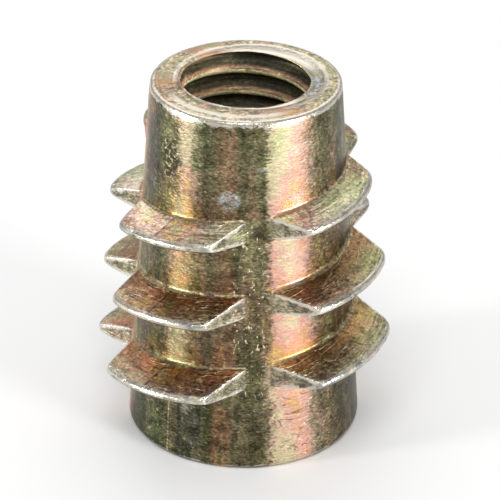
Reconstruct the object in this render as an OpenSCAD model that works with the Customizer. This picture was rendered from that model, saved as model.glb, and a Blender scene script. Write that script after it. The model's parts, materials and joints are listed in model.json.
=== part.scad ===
// Self-tapping wood insert: tapered die-cast barrel, coarse interrupted outer thread,
// machine-thread bore through, hexagon socket in the wide end.
// The part stands on its wide (drive) end with its axis on Z. All sizes are in millimetres.
// Angles along the flight count in degrees: -90 is the side seen looking along +Y, at the
// first full turn below the lead-in end, and each further turn down takes away 360.

/* [Barrel] */
// Overall length along the axis
insert_len = 20; // [17:0.5:26]
// Barrel diameter at the wide (drive) end
drive_end_d = 12.62; // [11:0.02:15]
// Barrel diameter at the narrow (lead-in) end
lead_end_d = 10.04; // [9.8:0.02:12]
// Rounding of the drive end's outer edge
drive_edge_r = 0.2; // [0.1:0.05:0.4]
// Rounding of the lead-in end's outer edge
lead_edge_r = 0.18; // [0.1:0.02:0.4]

/* [Bore] */
// Bore wall diameter, the minor diameter of the machine thread
bore_d = 6.647; // [6:0.05:7.2]
// Width of the shallow countersink round the bore's mouth, at the lead-in end
sink_w = 0.61; // [0.3:0.01:0.8]
// Included angle of the countersink
sink_angle = 160; // [150:5:165]
// How far the countersink sits off the bore's axis
sink_offset = 0.4; // [0:0.02:0.44]
// Direction of that offset, degrees round from +X
sink_offset_dir = 50; // [0:1:359]

/* [Hexagon socket] */
// Size across flats
hex_af = 8; // [7:0.1:9]
// Depth from the drive end
hex_depth = 5; // [3:0.25:7]
// Slope of the chamfer at the socket's mouth, from the end face
hex_mouth_slope = 30; // [20:5:45]

/* [Wood thread] */
// Axial advance of the flight in one turn
flight_lead = 4.24; // [3.6:0.02:5]
// Height of the flight above the barrel where it starts to fade
flight_height = 2.09; // [1.5:0.01:2.3]
// Gain of that height in each turn toward the drive end
flight_gain = 0.09; // [0:0.01:0.15]
// Axial thickness of the flight where it meets the barrel
flight_root = 1.32; // [1.2:0.02:1.6]
// Axial thickness of the flight at its crest
flight_crest = 0.44; // [0.3:0.02:0.5]
// Chamfer of the crest's two edges
crest_edge = 0.1; // [0.04:0.01:0.14]
// Axial fall of the lead-in flank for each millimetre of height
flank_fall = 0.27; // [0.15:0.01:0.35]
// Distance from the lead-in end to the lead-in flank's foot, at -90 degrees along the flight
flight_lead_gap = 5.38; // [5:0.02:7]
// Distance from the drive end to that foot where the flight leaves the barrel
flight_drive_gap = 3.25; // [2.2:0.05:4]
// Angle along the flight where its height starts to fade toward the lead-in end
fade_start = -300; // [-340:5:-200]
// Angle along the flight where it has sunk into the barrel
fade_end = 175; // [120:5:175]
// How long the fade holds off before it drops
fade_power = 2.5; // [1:0.25:4]
// Angle over which it rises to full height at the drive end
rise_turn = 145; // [60:5:180]

/* [Cutting notches] */
// Flat width of a notch on the barrel
notch_floor = 1; // [0.8:0.02:1.3]
// Slope of the front and back notches' sides from the tangent
notch_slope_a = 31; // [28:1:45]
// Slope of the two side notches' sides from the tangent
notch_slope_b = 40; // [28:1:45]
// Direction of the front notch, degrees round from +X
notch_dir = -83; // [-88:1:-78]

/* [Hidden] */
$fn = 96;
notch_step = 90;
overlap = 0.25; // how far the flight's foot is buried in the barrel
overshoot = 0.02; // how far a cut runs out past an end face
sunk_share = 0.1; // how far the flight's ends run on below the barrel, as a share of its height
edge_steps = 6;
ring_steps = 14;
solve_steps = 6;
drive_r = drive_end_d / 2;
lead_r = lead_end_d / 2;
bore_r = bore_d / 2;
sink_r = bore_r + sink_w;
taper = (lead_r - drive_r) / insert_len;
flank_slope = (flight_root - flight_crest) / flight_height - flank_fall;
hex_r = hex_af / sqrt(3);
hex_mouth_h = (hex_r - hex_af / 2) * tan(hex_mouth_slope);
sink_low_r = bore_r - sink_offset - overlap;
sink_h = (sink_r - sink_low_r) / tan(sink_angle / 2);
flight_z = insert_len - flight_lead_gap;
rise_start = -90 - 360 * (flight_z - flight_drive_gap) / flight_lead;
notch_first = floor((rise_start - notch_dir) / notch_step);
notch_last = ceil((fade_end - notch_dir) / notch_step);

// Barrel radius at a height
function barrel_r(z) = drive_r + taper * z;

// Height of the lead-in flank's foot at an angle along the flight
function foot_z(a) = flight_z + flight_lead * (a + 90) / 360;

// Height of the flight above the barrel at an angle along the flight
function gained_h(a) = flight_height + flight_gain * max(0, fade_start - a) / 360;
function fade(a) = 1 - max(0, (a - fade_start) / (fade_end - fade_start)) ^ fade_power;
function rise(a) = (a - rise_start) / rise_turn;
function height_at(a) = gained_h(a) * max(-sunk_share, min(1, fade(a), rise(a)));

// Corners of the flight's section, as [height above the barrel, distance below the foot],
// from the lead-in flank's buried edge round the crest to the drive-side flank's
function section(h) = [
    [-overlap, -overlap * flank_fall],
    [h - crest_edge, (h - crest_edge) * flank_fall],
    [h, h * flank_fall + crest_edge],
    [h, h * flank_fall + flight_crest - crest_edge],
    [h - crest_edge, h * flank_fall + flight_crest + crest_edge * flank_slope],
    [-overlap, flight_root + overlap * flank_slope]
];
corners = len(section(flight_height));
function corner_h(c, a) = section(height_at(a))[c][0];
function corner_z(c, a) = foot_z(a) - section(height_at(a))[c][1];
function corner_r(c, a) = barrel_r(corner_z(c, a)) + corner_h(c, a);

// Angle from a notch's centre to its side: g is the run of the side for each millimetre out,
// r the radius, b the barrel's radius there, v the distance out along the notch's centre line
function run_of(n) = 1 / tan(n % 2 == 0 ? notch_slope_a : notch_slope_b);
function side_k(b, g) = notch_floor / 2 - g * b;
function side_v(r, k, g) = (sqrt(g ^ 2 * k ^ 2 - (1 + g ^ 2) * (k ^ 2 - r ^ 2)) - g * k) / (1 + g ^ 2);
function side_at(b, g, v) = atan2(notch_floor / 2 + g * (v - b), v);
function side_of(r, b, g) = side_at(b, g, side_v(r, side_k(b, g), g));

// Angle along the flight where section corner c meets the side of notch n, found in steps
function notch_at(n) = notch_dir + n * notch_step;
function side_for(c, n, a) = side_of(corner_r(c, a), barrel_r(corner_z(c, a)), run_of(n));
function meet(c, n, way, a, steps) =
    steps == 0 ? a : meet(c, n, way, notch_at(n) + way * side_for(c, n, a), steps - 1);

// Corner c of ring i of the flight piece between notches n and n + 1
function start_a(c, n) = meet(c, n, 1, notch_at(n), solve_steps);
function end_a(c, n) = meet(c, n + 1, -1, notch_at(n + 1), solve_steps);
function at_angle(c, a) = [corner_r(c, a) * cos(a), corner_r(c, a) * sin(a), corner_z(c, a)];
function ring_point(c, i, n) = at_angle(c, start_a(c, n) + (end_a(c, n) - start_a(c, n)) * i / ring_steps);

// Triangles of one flight piece: two for each side strip, then the two ends
function near(i, c) = i * corners + c % corners;
strips = [for (i = [0 : ring_steps - 1]) for (c = [1 : corners]) [i, c]];
side_one = [for (s = strips) [near(s[0], s[1]), near(s[0] + 1, s[1]), near(s[0] + 1, s[1] + 1)]];
side_two = [for (s = strips) [near(s[0], s[1]), near(s[0] + 1, s[1] + 1), near(s[0], s[1] + 1)]];
cap_start = [for (c = [1 : corners - 2]) [near(0, 0), near(0, c), near(0, c + 1)]];
cap_end = [for (c = [1 : corners - 2]) [near(ring_steps, 0), near(ring_steps, c + 1), near(ring_steps, c)]];

module flight_piece(n) {
    polyhedron(
        points = [for (i = [0 : ring_steps]) for (c = [0 : corners - 1]) ring_point(c, i, n)],
        faces = concat(side_one, side_two, cap_start, cap_end)
    );
}

module wood_thread() {
    for (n = [notch_first : notch_last - 1])
        flight_piece(n);
}

// Barrel outline with quarter rounds at both outer edges
function drive_in(i) = drive_edge_r * (1 - sin(90 * i / edge_steps));
function drive_up(i) = drive_edge_r * (1 - cos(90 * i / edge_steps));
function lead_in(i) = lead_edge_r * (1 - cos(90 * i / edge_steps));
function lead_z(i) = insert_len - lead_edge_r * (1 - sin(90 * i / edge_steps));

module barrel() {
    rotate_extrude()
        polygon(concat(
            [[0, 0]],
            [for (i = [0 : edge_steps]) [barrel_r(drive_up(i)) - drive_in(i), drive_up(i)]],
            [for (i = [0 : edge_steps]) [barrel_r(lead_z(i)) - lead_in(i), lead_z(i)]],
            [[0, insert_len]]
        ));
}

module bore() {
    translate([0, 0, -overshoot])
        cylinder(r = bore_r, h = insert_len + 2 * overshoot);
}

module countersink() {
    rotate([0, 0, sink_offset_dir])
        translate([sink_offset, 0, insert_len - sink_h])
            cylinder(r1 = sink_low_r, r2 = sink_r + overshoot * tan(sink_angle / 2), h = sink_h + overshoot);
}

module hex_socket() {
    translate([0, 0, -overshoot])
        cylinder(r = hex_r, h = hex_depth + overshoot, $fn = 6);
}

module hex_mouth() {
    translate([0, 0, -overshoot])
        cylinder(r1 = hex_r + overshoot / tan(hex_mouth_slope), r2 = hex_af / 2, h = hex_mouth_h + overshoot);
}

module insert_body() {
    color([0.60, 0.56, 0.40])
        difference() {
            union() {
                barrel();
                wood_thread();
            }
            bore();
            countersink();
            hex_socket();
            hex_mouth();
        }
}

insert_body();
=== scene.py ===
import json
import math
from itertools import accumulate
from types import SimpleNamespace

import bpy
from bpy.props import FloatProperty, FloatVectorProperty, PointerProperty
from mathutils import Matrix, Vector


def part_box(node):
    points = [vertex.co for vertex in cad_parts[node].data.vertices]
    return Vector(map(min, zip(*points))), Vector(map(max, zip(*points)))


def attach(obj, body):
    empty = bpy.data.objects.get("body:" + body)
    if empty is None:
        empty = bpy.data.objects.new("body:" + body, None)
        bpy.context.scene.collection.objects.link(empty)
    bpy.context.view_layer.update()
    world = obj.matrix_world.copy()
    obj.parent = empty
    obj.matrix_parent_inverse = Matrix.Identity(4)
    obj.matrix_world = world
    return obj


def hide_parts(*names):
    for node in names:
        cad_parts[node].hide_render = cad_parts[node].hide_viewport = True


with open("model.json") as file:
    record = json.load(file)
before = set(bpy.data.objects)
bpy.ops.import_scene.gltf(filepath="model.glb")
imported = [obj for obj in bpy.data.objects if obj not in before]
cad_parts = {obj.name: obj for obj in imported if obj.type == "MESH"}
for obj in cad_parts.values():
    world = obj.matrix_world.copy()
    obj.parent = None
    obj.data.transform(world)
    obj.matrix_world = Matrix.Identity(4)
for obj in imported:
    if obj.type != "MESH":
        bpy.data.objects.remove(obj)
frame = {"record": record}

bl_info = {
    "name": "Threaded Wood Insert",
    "version": (1, 0, 0),
    "blender": (4, 5, 0),
    "location": "3D View > Sidebar > Insert",
    "description": "Builds a cast wood insert with a coarse outer thread and a machine-threaded bore",
    "category": "Mesh",
}

CAD_NODE = "insert_body"
BODY = "root"
SLOT = "passivated_zinc"

MM = 0.001
PER_MM = 1000.0  # turns metres into millimetres

# Sizes that the frame gives, in millimetres
BOLT_THREAD = next(mount for mount in frame["record"]["mounts"] if mount["name"] == "bolt_thread")
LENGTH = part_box(CAD_NODE)[1].z * PER_MM
BORE_RADIUS = BOLT_THREAD["dims"]["r_mm"]
SOCKET_DEPTH = BOLT_THREAD["pos_m"][2] * PER_MM

# ---------------------------------------------------------------------------
# Sizes that a user would change
# ---------------------------------------------------------------------------


def length_setting(name, millimetres, about):
    """A size, written in millimetres and kept in metres."""
    return FloatProperty(name=name, description=about, default=millimetres * MM, unit="LENGTH", precision=5)


def angle_setting(name, degrees, about):
    """An angle, written in degrees and kept in radians."""
    return FloatProperty(name=name, description=about, default=math.radians(degrees), subtype="ANGLE")


def share_setting(name, default, about):
    """A plain number or a share."""
    return FloatProperty(name=name, description=about, default=default)


def colour_setting(name, red, green, blue, about):
    """A colour, in linear light."""
    return FloatVectorProperty(
        name=name,
        description=about,
        default=(red, green, blue, 1),
        size=4,
        min=0,
        max=1,
        subtype="COLOR",
    )


class InsertColours(bpy.types.PropertyGroup):
    """The colours of the plated zinc, some with painted highlights in them."""

    barrel: colour_setting("Barrel", 0.165, 0.145, 0.083, "Barrel between its pale streaks")
    # Streak: partly streaky film and partly painted highlights
    streak_and_highlight: colour_setting("Streak", 0.56, 0.475, 0.35, "Pale upright streaks on the barrel")
    flank_root: colour_setting("Flank Root", 0.29, 0.17, 0.085, "A flight's upper face beside the barrel")
    flank_crest: colour_setting("Flank Crest", 0.42, 0.365, 0.25, "A flight's upper face beside its crest")
    lead_root: colour_setting("First Flank Root", 0.98, 0.88, 0.73, "The first flight beside the barrel")
    lead_crest: colour_setting("First Flank Crest", 0.50, 0.46, 0.36, "The first flight beside its crest")
    notch_face: colour_setting("Notch Face", 0.29, 0.255, 0.18, "Crests, undersides and ends of the flights")
    bore_crest: colour_setting("Bore Crest", 0.46, 0.27, 0.16, "Crests of the machine thread")
    bore_groove: colour_setting("Bore Groove", 0.075, 0.066, 0.033, "Grooves of the machine thread")
    # Burnished: painted highlights on the dished ring and the lip around the mouth
    mouth_highlight: colour_setting("Burnished", 0.86, 0.79, 0.69, "Burnished metal around the mouth")
    # Worn Edge: partly rubbed bright and partly painted highlights
    worn_and_highlit: colour_setting("Worn Edge", 0.74, 0.69, 0.60, "Edges that have rubbed bright")


class InsertSizes(bpy.types.PropertyGroup):
    """The insert's driving sizes."""

    insert_length: length_setting("Length", LENGTH, "Overall length along the axis")
    drive_radius: length_setting("Drive End Radius", 6.31, "Barrel radius at the wide end")
    lead_radius: length_setting("Lead-In End Radius", 5.02, "Barrel radius at the narrow end")
    drive_edge: length_setting("Drive End Edge", 0.2, "Rounding of the wide end's outer edge")
    lead_edge: length_setting("Lead-In End Edge", 0.18, "Rounding of the narrow end's outer edge")
    bore_radius: length_setting("Bore Radius", BORE_RADIUS, "Minor radius of the machine thread")
    groove_depth: length_setting("Groove Depth", 0.6765, "Radial depth of the machine thread's groove")
    pitch: length_setting("Pitch", 1.25, "Pitch of the machine thread")
    crest_place: length_setting("Crest Place", 18.43, "Height of a machine thread's crest at angle zero")
    dish_depth: length_setting("Dish Depth", 0.13, "Depth of the dished ring around the bore's mouth")
    mouth_shift: length_setting("Mouth Shift", 0.2, "How far the bore's lip is rolled to the back")
    sink_radius: length_setting("Countersink Radius", 3.93, "Outer radius of the shallow countersink")
    sink_offset: length_setting("Countersink Offset", 0.4, "How far the countersink sits off the axis")
    sink_direction: angle_setting("Countersink Direction", 50, "Direction of that offset")
    socket_flats: length_setting("Socket Across Flats", 8, "Hexagon socket's size across its flats")
    socket_depth: length_setting("Socket Depth", SOCKET_DEPTH, "Hexagon socket's depth")
    socket_chamfer: angle_setting("Socket Chamfer", 30, "Slope of the chamfer at the socket's mouth")
    flight_lead: length_setting("Flight Lead", 4.24, "Advance of the wood thread in one turn")
    flight_place: length_setting("Flight Place", 14.62, "Height of the flight's foot at -90 degrees")
    flight_height: length_setting("Flight Height", 2.09, "Height of the flight above the barrel")
    flight_gain: length_setting("Flight Gain", 0.09, "Gain of that height in a turn to the drive end")
    flight_root: length_setting("Flight Root", 1.32, "Thickness of the flight where it meets the barrel")
    flight_crest: length_setting("Flight Crest", 0.46, "Thickness of the flight at its crest")
    crest_edge: length_setting("Crest Edge", 0.1, "Chamfer of the crest's edges")
    flank_fall: share_setting("Flank Fall", 0.27, "Fall of the lead-in flank for its height")
    fade_start: angle_setting("Fade Start", -300, "Angle where the flight starts to fade")
    fade_end: angle_setting("Fade End", 200, "Angle where the flight has sunk into the barrel")
    fade_power: share_setting("Fade Power", 2.3, "How long the fade holds off before it drops")
    rise_start: angle_setting("Rise Start", -1055, "Angle where the flight starts to rise")
    rise_turn: angle_setting("Rise Turn", 145, "Angle over which it rises to full height")
    notch_floor: length_setting("Notch Floor", 1.0, "Flat width of a cutting notch")
    notch_slope_a: angle_setting("Front Notch Slope", 31, "Slope of the sides of the front and back notches")
    notch_slope_b: angle_setting("Side Notch Slope", 40, "Slope of the two side notches' sides")
    front_corner: length_setting("Front Corner", 0.1, "Softness of crest corners, front and back notches")
    side_corner: length_setting("Side Corner", 0.4, "Softness of crest corners, side notches")
    notch_edge: length_setting("Notch Edge", 0.12, "Softness of a notch's edges")
    notch_direction: angle_setting("Notch Direction", -83, "Direction of the front notch")


# ---------------------------------------------------------------------------
# Arithmetic on fields: a shape's rule is written as plain sums, and becomes nodes
# ---------------------------------------------------------------------------


class Field:
    """A socket of the tree that is being built: a mesh, or a value that varies over one."""

    def __init__(self, tree, socket):
        self.tree = tree
        self.socket = socket

    def __add__(self, other):
        return calculate("ADD", self, other)

    def __sub__(self, other):
        return calculate("SUBTRACT", self, other)

    def __mul__(self, other):
        return calculate("MULTIPLY", self, other)

    def __truediv__(self, other):
        return calculate("DIVIDE", self, other)

    def __rsub__(self, other):
        return calculate("SUBTRACT", other, self)

    def __rtruediv__(self, other):
        return calculate("DIVIDE", other, self)

    def __neg__(self):
        return calculate("MULTIPLY", self, -1.0)

    __radd__ = __add__
    __rmul__ = __mul__


def tree_of(*values):
    """The tree of the first field among some fields and plain values."""
    return next(value.tree for value in values if isinstance(value, Field))


def put(value, socket):
    """Gives a socket a field's link or a plain value."""
    if isinstance(value, Field):
        value.tree.links.new(value.socket, socket)
    else:
        socket.default_value = value


def new_node(tree, kind, inputs=(), **settings):
    """A node with its settings made, and its inputs given by name or by place."""
    node = tree.nodes.new(kind)
    for setting, value in settings.items():
        setattr(node, setting, value)
    for socket, value in dict(inputs).items():
        put(value, node.inputs[socket])
    return node


def first_output(tree, kind, inputs=(), **settings):
    """A new node's first output."""
    return Field(tree, new_node(tree, kind, inputs, **settings).outputs[0])


def calculate(operation, *values, clamp=False):
    """One Math node over fields and numbers."""
    tree = tree_of(*values)
    return first_output(tree, "ShaderNodeMath", enumerate(values), operation=operation, use_clamp=clamp)


def rule(operation):
    """A function that lays one Math node over its fields and numbers."""
    return lambda *values: calculate(operation, *values)


least = rule("MINIMUM")
most = rule("MAXIMUM")
power = rule("POWER")
root = rule("SQRT")
sine = rule("SINE")
cosine = rule("COSINE")
tangent = rule("TANGENT")
bearing = rule("ARCTAN2")
whole = rule("FLOOR")
nearest_whole = rule("ROUND")
remainder = rule("FLOORED_MODULO")
size_of = rule("ABSOLUTE")
exceeds = rule("GREATER_THAN")
falls_short = rule("LESS_THAN")


def within(value, low, high):
    """The value held between two limits."""
    return least(most(value, low), high)


def share(value, start, length):
    """How far a value has run through a stretch, held at 0 before it and at 1 after it."""
    return calculate("DIVIDE", value - start, length, clamp=True)


def between(a, b, part):
    """The value that part of the way leads from a to b."""
    return (b - a) * part + a


def along(count, stops):
    """A value that runs straight from stop to stop; each stop is (count there, value there)."""
    value = stops[0][1]
    for (start, first), (end, last) in zip(stops, stops[1:]):
        value = share(count, start, end - start) * (last - first) + value
    return value


def spaced(steps):
    """The counts at the stops that lie the given numbers of steps apart, from 0."""
    return list(accumulate(steps, initial=0))


def point(x, y, z):
    """A vector of three fields or numbers."""
    return first_output(tree_of(x, y, z), "ShaderNodeCombineXYZ", enumerate((x, y, z)))


def parts(vector):
    """The x, y and z of a vector."""
    node = new_node(vector.tree, "ShaderNodeSeparateXYZ", {0: vector})
    return [Field(vector.tree, socket) for socket in node.outputs]


def joined(operation, a, b):
    """One Vector Math node over two vectors."""
    return first_output(tree_of(a, b), "ShaderNodeVectorMath", {0: a, 1: b}, operation=operation)


def scaled(vector, factor):
    """A vector or colour with all its parts multiplied by one factor."""
    inputs = {0: vector, "Scale": factor}
    return first_output(tree_of(vector, factor), "ShaderNodeVectorMath", inputs, operation="SCALE")


MIX_SOCKETS = {"VECTOR": "Vector", "RGBA": "Color"}  # what a Mix node calls its sockets for a kind of data


def mixed(data_type, part, a, b, **settings):
    """One Mix node: the vector or colour that part of the way leads from a to b."""
    tree = tree_of(part, a, b)
    node = new_node(tree, "ShaderNodeMix", {"Factor": part}, data_type=data_type, **settings)
    sockets = {socket.identifier: socket for socket in (*node.inputs, *node.outputs)}
    kind = MIX_SOCKETS[data_type]
    put(a, sockets["A_" + kind])
    put(b, sockets["B_" + kind])
    return Field(tree, sockets["Result_" + kind])


# ---------------------------------------------------------------------------
# The insert's shape
# ---------------------------------------------------------------------------

QUARTER = math.pi / 2
TURN = 2 * math.pi
NOTCHES_A_TURN = 4
HEX_FACE = math.pi / 3  # angle that one face of the hexagon takes up
MERGE = 0.003 * MM  # distance within which two patches' points become one

# Columns from one notch's centre to the next: its floor, its side, the flight, and back down
FLOOR_COLUMNS = 4
EDGE_COLUMNS = 3
SIDE_COLUMNS = 9
CREST_COLUMNS = 18
CLIMB_STEPS = (FLOOR_COLUMNS, EDGE_COLUMNS, SIDE_COLUMNS, EDGE_COLUMNS, EDGE_COLUMNS)
FLIGHT_STEPS = (*CLIMB_STEPS, CREST_COLUMNS, *reversed(CLIMB_STEPS))
RING_STEPS = (FLOOR_COLUMNS, EDGE_COLUMNS, CREST_COLUMNS, EDGE_COLUMNS, FLOOR_COLUMNS)
EDGE_SHARE = 0.07  # of a notch's side or a crest, for the close columns beside a corner
FIRST_NOTCH = -16  # where the outer strip starts, counted from the front notch
NOTCHES = 25  # how many quarter turns it takes
THREAD_END = 3.0  # the notch that cuts the thread off at the lead-in end, counted from the front one
SETTLING_STEPS = 4  # after which a column's angle, height and radius agree

# Rows of the flight's section from the land below it, over its crest, to the land above it
SECTION_STEPS = (7, 3, 9, 2, 4, 2, 9, 3, 7)
LAND_SHARE = 0.5  # of the land between two turns that lies above the flight
FOOT_WIDTH = 0.15 * MM  # land beside the flight's foot with close rows
CHAMFER_LIMIT = 3.0  # a flight's height over its crest's chamfer, at least
ROUNDING = 4.0  # divides the square that rounds a corner

# Rows of one pitch of the machine thread, which is a standard metric one
GROOVE_STEPS = (4, 2, 4, 2)
BORE_FIRST_NOTCH = -56  # where the bore's strip starts, counted from the front notch
BORE_NOTCHES = 66  # how many quarter turns it takes
GROOVE_FLANK = math.tan(math.radians(30))  # run of a flank along the axis for its depth
GROOVE_FLAT = 0.125  # flat bottom of the groove, as a share of the pitch
LIP_HEIGHT = 0.25 * MM  # over which the machine thread fades at the bore's ends

# Rows of the plain surfaces
EDGE_ROWS = 4
RING_ROWS = 8
SINK_ROWS = 6
WALL_ROWS = 10
DISH_TILT = 0.95  # how much deeper than its mean the dished ring is on the side it is shifted to
DISH_RISE = 2.6  # brings the dish's rule, x less its cube, to about 1 at its deepest

# The casting's softness and unevenness
SHARP_ANGLE = math.radians(20)
SOFT_WIDTH = 0.12 * MM
SOFT_SHARE = 0.8
SOFT_ROUNDS = 2
BLUR_STEPS = 2
WAVE_HEIGHT = 0.018 * MM
RIPPLE_HEIGHT = 0.006 * MM
NICK_DEPTH = 0.12 * MM
NICK_REACH = 0.3 * MM  # from an edge
NICK_BIAS = 0.1  # leaves only the deeper parts of the noise as nicks

# The noises behind them: features to a metre, detail and seed
WAVE_NOISE = (420, 2, 3.0)
RIPPLE_NOISE = (1500, 2, 7.0)
NICK_NOISE = (900, 3, 11.0)


def counted_grid(tree, columns, rows):
    """A grid whose points know their column and row: (mesh, column, row)."""
    inputs = {"Size X": columns, "Size Y": rows, "Vertices X": columns + 1, "Vertices Y": rows + 1}
    mesh = first_output(tree, "GeometryNodeMeshGrid", inputs)
    x, y, _ = parts(first_output(tree, "GeometryNodeInputPosition"))
    return mesh, nearest_whole(x + columns / 2), nearest_whole(y + rows / 2)


def moved(mesh, radius, angle, height):
    """The mesh with each point set to a radius, an angle and a height."""
    position = point(radius * cosine(angle), radius * sine(angle), height)
    return first_output(mesh.tree, "GeometryNodeSetPosition", {"Geometry": mesh, "Position": position})


def kept(mesh, name, value):
    """The mesh with a field stored on its points under a name."""
    inputs = {"Geometry": mesh, "Name": name, "Value": value}
    kind = "GeometryNodeStoreNamedAttribute"
    return first_output(mesh.tree, kind, inputs, data_type="FLOAT", domain="POINT")


def barrel_radius(s, z):
    """Radius of the tapered barrel at a height."""
    return (s.lead_radius - s.drive_radius) / s.insert_length * z + s.drive_radius


def foot_height(s, angle):
    """Height of the lead-in flank's foot at an angle along the flight."""
    return s.flight_lead * (angle + QUARTER) / TURN + s.flight_place


def flight_height(s, angle):
    """Height of the flight above the barrel at an angle along it."""
    gained = s.flight_gain * most(s.fade_start - angle, 0.0) / TURN + s.flight_height
    fade = 1.0 - power(share(angle, s.fade_start, s.fade_end - s.fade_start), s.fade_power)
    rise = share(angle, s.rise_start, s.rise_turn)
    before_end = falls_short(angle, s.notch_direction + THREAD_END * QUARTER)
    return gained * least(fade, rise) * before_end


def notch_run(s, number):
    """Run of a notch's sides for each unit outwards; every other notch is of the steep kind."""
    odd = remainder(number, 2.0)
    return between(1.0 / tangent(s.notch_slope_a), 1.0 / tangent(s.notch_slope_b), odd)


def notch_side(s, radius, base, run):
    """Angle from a notch's centre line to its side, where the side reaches a radius."""
    half = s.notch_floor / 2
    k = half - run * base
    spread = run * run + 1.0
    v = (root(run * run * k * k - spread * (k * k - radius * radius)) - run * k) / spread
    return bearing(half + run * (v - base), v)


def sector(column, steps, first_notch):
    """The notch before a column and the column's count from that notch's centre."""
    total = sum(steps)
    notch = whole(column / total)
    return notch + first_notch, column - notch * total


def eased(count, stops):
    """Runs from 0 to 1 through four stops, with close columns over its first and last stretch."""
    return along(count, list(zip(stops, (0.0, EDGE_SHARE, 1.0 - EDGE_SHARE, 1.0))))


def flight_columns(count):
    """For a column of the outer strip: its shares of the floors, the sides and the crest."""
    stops = spaced(FLIGHT_STEPS)
    back_count = stops[-1] - count
    first_floor = share(count, 0.0, FLOOR_COLUMNS)
    last_floor = share(back_count, 0.0, FLOOR_COLUMNS)
    first_side = eased(count, stops[1:5])
    last_side = eased(back_count, stops[1:5])
    return first_floor, first_side, eased(count, stops[4:8]), last_side, last_floor


def flight_section(s, row, angle):
    """A row of the outer strip at an angle along it: its rise, drop and height, and the barrel's radius."""
    (low_land, low_foot, low_root, low_edge, low_crest,
     high_crest, high_edge, high_root, high_foot, high_land) = spaced(SECTION_STEPS)
    land = (s.flight_lead - s.flight_root) * LAND_SHARE
    top = flight_height(s, angle)
    edge = least(s.crest_edge, top / CHAMFER_LIMIT)
    fall = top * s.flank_fall
    rise = along(row, [
        (low_root, 0.0),
        (low_edge, top - edge),
        (low_crest, top),
        (high_crest, top),
        (high_edge, top - edge),
        (high_root, 0.0),
    ])
    drop = along(row, [
        (low_land, s.flight_lead - land),
        (low_foot, s.flight_root + FOOT_WIDTH),
        (low_root, s.flight_root),
        (low_edge, fall + s.flight_crest),
        (low_crest, fall + s.flight_crest - edge),
        (high_crest, fall + edge),
        (high_edge, (top - edge) * s.flank_fall),
        (high_root, 0.0),
        (high_foot, -FOOT_WIDTH),
        (high_land, -land),
    ])
    height = within(foot_height(s, angle) - drop, s.drive_edge, s.insert_length - s.lead_edge)
    return rise, drop, height, barrel_radius(s, height)


def within_root(s, drop):
    """1 on the rows that the flight's root covers, and 0 on the land."""
    return exceeds(drop, MERGE) * falls_short(drop, s.flight_root - MERGE)


def rounded_down(reach, over, wide):
    """A reach held under a side that is over (or below) it, with the corner between them rounded."""
    near = most(wide - size_of(over), 0.0)
    return reach + least(over, 0.0) - near * near / (most(wide, MERGE) * ROUNDING)


def settled(tree, first_value, step):
    """The value that a step settles to when it is repeated from a first value."""
    zone = tree.nodes.new("GeometryNodeRepeatInput")
    zone_end = tree.nodes.new("GeometryNodeRepeatOutput")
    zone.pair_with_output(zone_end)
    zone_end.repeat_items.clear()
    zone_end.repeat_items.new("FLOAT", "Value")
    put(SETTLING_STEPS, zone.inputs["Iterations"])
    put(first_value, zone.inputs["Value"])
    put(step(Field(tree, zone.outputs["Value"])), zone_end.inputs["Value"])
    return Field(tree, zone_end.outputs["Value"])


def outer_strip(tree, s):
    """The barrel's outside with its flight, as a strip that winds from end to end."""
    mesh, column, row = counted_grid(tree, NOTCHES * sum(FLIGHT_STEPS), sum(SECTION_STEPS))
    number, count = sector(column, FLIGHT_STEPS, FIRST_NOTCH)
    first_floor, first_side, crest, last_side, last_floor = flight_columns(count)
    first_run = notch_run(s, number)
    last_run = notch_run(s, number + 1.0)
    start = number * QUARTER + s.notch_direction

    def corrected(angle):
        """The column's angle for the barrel's radius and the flight's height that an angle gives."""
        rise, _, _, base = flight_section(s, row, angle)
        first = notch_side(s, base + rise * first_side, base, first_run) * first_floor
        last = notch_side(s, base + rise * last_side, base, last_run) * last_floor
        return start + between(first, QUARTER - last, crest)

    angle = settled(tree, count * (QUARTER / sum(FLIGHT_STEPS)) + start, corrected)
    rise, drop, height, base = flight_section(s, row, angle)
    turn = angle - start
    fullness = rise / most(flight_height(s, angle), MERGE)
    reach = rise
    sides = ((first_run, first_side, turn, number), (last_run, last_side, QUARTER - turn, number + 1.0))
    for run, side, past, notch in sides:
        corner = notch_side(s, base + rise, base, run)
        over = (base + rise) * most(sine(past) - sine(corner), 0.0) / run - rise * (1.0 - side)
        soft = between(s.front_corner, s.side_corner, remainder(notch, 2.0))
        wide = soft * fullness * fullness + s.notch_edge
        reach = rounded_down(reach, over, least(wide, rise))
    reach = most(reach, 0.0)
    mesh = kept(mesh, "flight_rise", reach / s.flight_height)
    under = exceeds(drop, s.flight_root / 2.0)
    on_land = most(under, falls_short(drop, MERGE)) * (1.0 - within_root(s, drop))
    presence = flight_height(s, angle - under * TURN) / s.flight_height
    gap = under - drop / s.flight_lead
    mesh = kept(mesh, "above_flight", presence * on_land * (1.0 - gap))
    return moved(mesh, base + reach, angle, height)


def ring_angle(s, column, base, first_notch):
    """Angle of a column on the plain surfaces, in line with the outer strip's at that barrel radius."""
    number, count = sector(column, RING_STEPS, first_notch)
    stops = spaced(RING_STEPS)
    first_floor = share(count, 0.0, FLOOR_COLUMNS)
    last_floor = share(stops[-1] - count, 0.0, FLOOR_COLUMNS)
    first = notch_side(s, base, base, notch_run(s, number)) * first_floor
    last = notch_side(s, base, base, notch_run(s, number + 1.0)) * last_floor
    return number * QUARTER + s.notch_direction + between(first, QUARTER - last, eased(count, stops[1:5]))


def offset_circle(s, angle, radius):
    """Distance from the axis to a circle that sits off it the way the countersink does."""
    turn = angle - s.sink_direction
    side = s.sink_offset * sine(turn)
    return s.sink_offset * cosine(turn) + root(radius * radius - side * side)


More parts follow.
